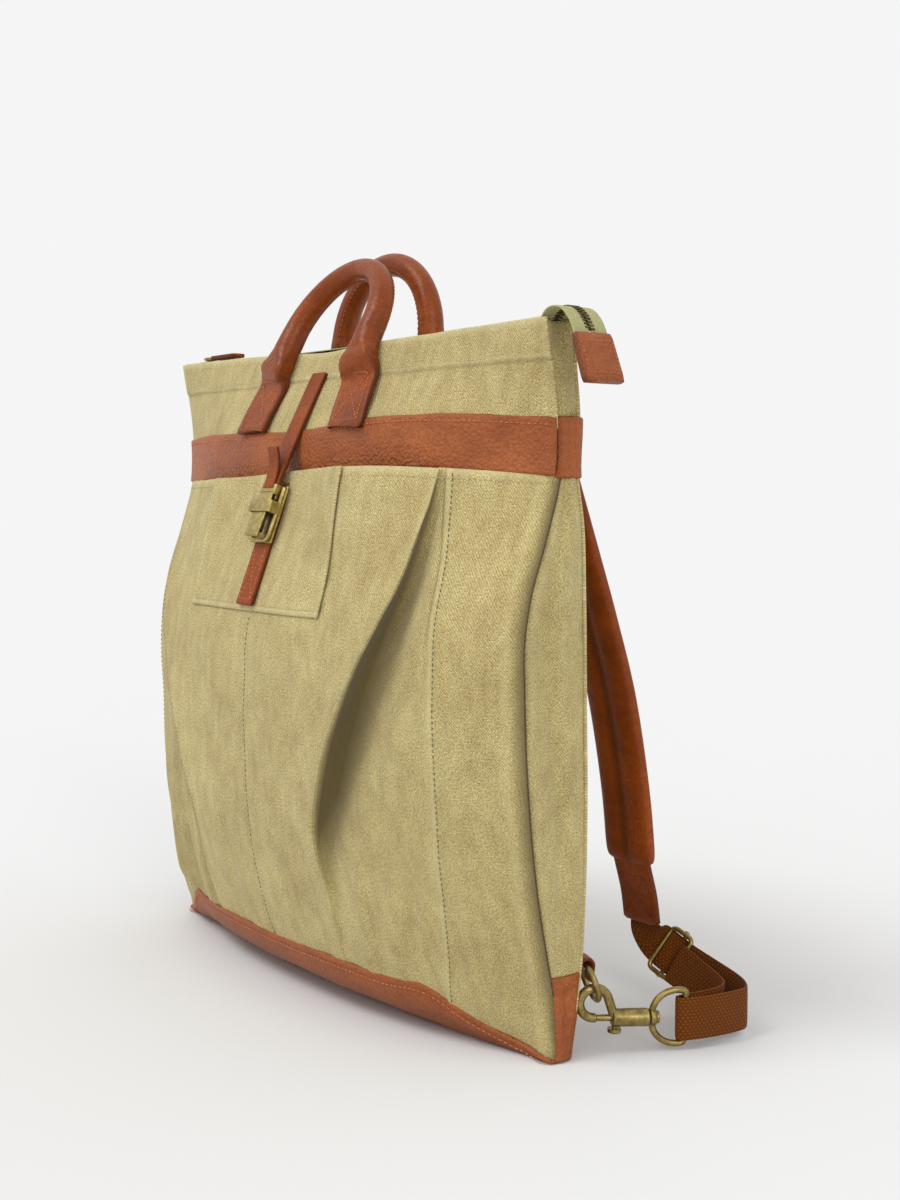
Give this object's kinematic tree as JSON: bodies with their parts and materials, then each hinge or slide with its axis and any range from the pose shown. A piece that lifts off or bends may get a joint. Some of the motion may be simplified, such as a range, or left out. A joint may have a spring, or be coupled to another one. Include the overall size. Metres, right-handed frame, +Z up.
{
  "type": "convertible tote backpack",
  "caption": "Tall canvas bag with leather trim: pleated front pocket with push-in buckle, two top handles, long zip, padded straps clipped to lower rings.",
  "frame": {"origin": "middle of the flat sole the bag stands on, on the floor", "axes": "+X to the end with the zip's tail (the right end seen from the front), -Y out of the pleated front pocket, +Z up"},
  "size_m": [0.4917, 0.2173, 0.4788],
  "materials": {
    "leather": "semi-matt pebbled full-grain, cognac",
    "canvas": "stonewashed heavy cotton twill, khaki",
    "antique_brass": "antiqued, soft sheen",
    "lining_cloth": "plain light cotton",
    "zip_tape": "woven tape",
    "webbing": "coarse cotton webbing, brown",
    "board": "pressed stiffening board",
    "foam": "soft foam padding",
    "cord": "twisted cotton piping cord",
    "spring_steel": "bright spring wire"
  },
  "bodies": {
    "bag": {"back_band": "leather", "back_panel": "canvas", "back_yoke": "canvas", "base_board": "board", "clasp_keeper": "antique_brass", "clasp_plate": "antique_brass", "clasp_tab": "leather", "closure_strap": "leather", "front_band": "leather", "front_pocket_panel": "canvas", "front_wall": "canvas", "front_yoke": "canvas", "handle_tabs": "leather", "leather_base": "leather", "left_end_patch": "leather", "left_gusset": "canvas", "left_gusset_band": "leather", "left_gusset_top": "canvas", "left_ring_loop": "leather", "left_slider": "antique_brass", "left_snap_eye": "antique_brass", "left_strap_cover": "leather", "left_strap_foam": "foam", "left_strap_tab": "leather", "left_webbing": "webbing", "lining": "lining_cloth", "patch_pocket": "canvas", "right_end_patch": "leather", "right_gusset": "canvas", "right_gusset_band": "leather", "right_gusset_top": "canvas", "right_ring_loop": "leather", "right_slider": "antique_brass", "right_snap_eye": "antique_brass", "right_strap_cover": "leather", "right_strap_foam": "foam", "right_strap_tab": "leather", "right_webbing": "webbing", "zip_end_tab": "leather", "zip_stop": "antique_brass", "zip_tape_back": "zip_tape", "zip_tape_front": "zip_tape", "zip_teeth_back": "antique_brass", "zip_teeth_front": "antique_brass"},
    "zip_slider": {"zip_slider": "antique_brass"},
    "zip_pull": {"zip_link": "antique_brass", "zip_puller": "leather"},
    "front_handle": {"front_handle_grip": "leather", "front_handle_core": "cord"},
    "back_handle": {"back_handle_grip": "leather", "back_handle_core": "cord"},
    "clasp_tongue": {"clasp_tongue": "antique_brass"},
    "right_ring": {"right_ring": "antique_brass"},
    "right_snap": {"right_snap_body": "antique_brass", "right_snap_spring": "spring_steel"},
    "right_snap_bolt": {"right_snap_bolt": "antique_brass"},
    "left_ring": {"left_ring": "antique_brass"},
    "left_snap": {"left_snap_body": "antique_brass", "left_snap_spring": "spring_steel"},
    "left_snap_bolt": {"left_snap_bolt": "antique_brass"}
  },
  "joints": [
    {"name": "zip_slide", "type": "slide", "parent": "bag", "child": "zip_slider", "axis": [1, 0, 0], "range_m": [0, 0.34]},
    {"name": "zip_pull_flip", "type": "hinge", "parent": "zip_slider", "child": "zip_pull", "pos_m": [-0.189, -0.013, 0.4203], "axis": [0, -1, 0], "range_deg": [0, 150]},
    {"name": "front_handle_fold", "type": "hinge", "parent": "bag", "child": "front_handle", "pos_m": [0, -0.0403, 0.3995], "axis": [1, 0, 0], "range_deg": [0, 115], "stiffness_Nm_per_rad": 0.2, "springref_deg": 1.72},
    {"name": "back_handle_fold", "type": "hinge", "parent": "bag", "child": "back_handle", "pos_m": [0, 0.0146, 0.397], "axis": [1, 0, 0], "range_deg": [-105, 2], "stiffness_Nm_per_rad": 0.2, "springref_deg": 0.23},
    {"name": "clasp_release", "type": "slide", "parent": "bag", "child": "clasp_tongue", "axis": [0, 0.3584, 0.9336], "range_m": [0, 0.03], "deforming": ["closure_strap"]},
    {"name": "right_ring_swing", "type": "hinge", "parent": "bag", "child": "right_ring", "pos_m": [0.2047, 0.01169, 0.05225], "axis": [0.9272, -0.3746, 0], "range_deg": [-4, 1]},
    {"name": "right_snap_swivel", "type": "hinge", "parent": "bag", "child": "right_snap", "pos_m": [0.216, 0.0226, 0.0213], "axis": [0.4544, 0.8898, -0.042], "range_deg": [-14, 1]},
    {"name": "right_snap_pull", "type": "slide", "parent": "right_snap", "child": "right_snap_bolt", "axis": [0.4544, 0.8898, -0.042], "range_m": [0, 0.0065], "stiffness_N_per_m": 200, "springref_m": -0.004, "deforming": ["right_snap_spring"]},
    {"name": "left_ring_swing", "type": "hinge", "parent": "bag", "child": "left_ring", "pos_m": [-0.2047, 0.01169, 0.05225], "axis": [0.9272, 0.3746, 0], "range_deg": [-4, 1]},
    {"name": "left_snap_swivel", "type": "hinge", "parent": "bag", "child": "left_snap", "pos_m": [-0.216, 0.0226, 0.0213], "axis": [0.4544, -0.8898, 0.042], "range_deg": [-14, 1]},
    {"name": "left_snap_pull", "type": "slide", "parent": "left_snap", "child": "left_snap_bolt", "axis": [-0.4544, 0.8898, -0.042], "range_m": [0, 0.0065], "stiffness_N_per_m": 200, "springref_m": -0.004, "deforming": ["left_snap_spring"]}
  ]
}
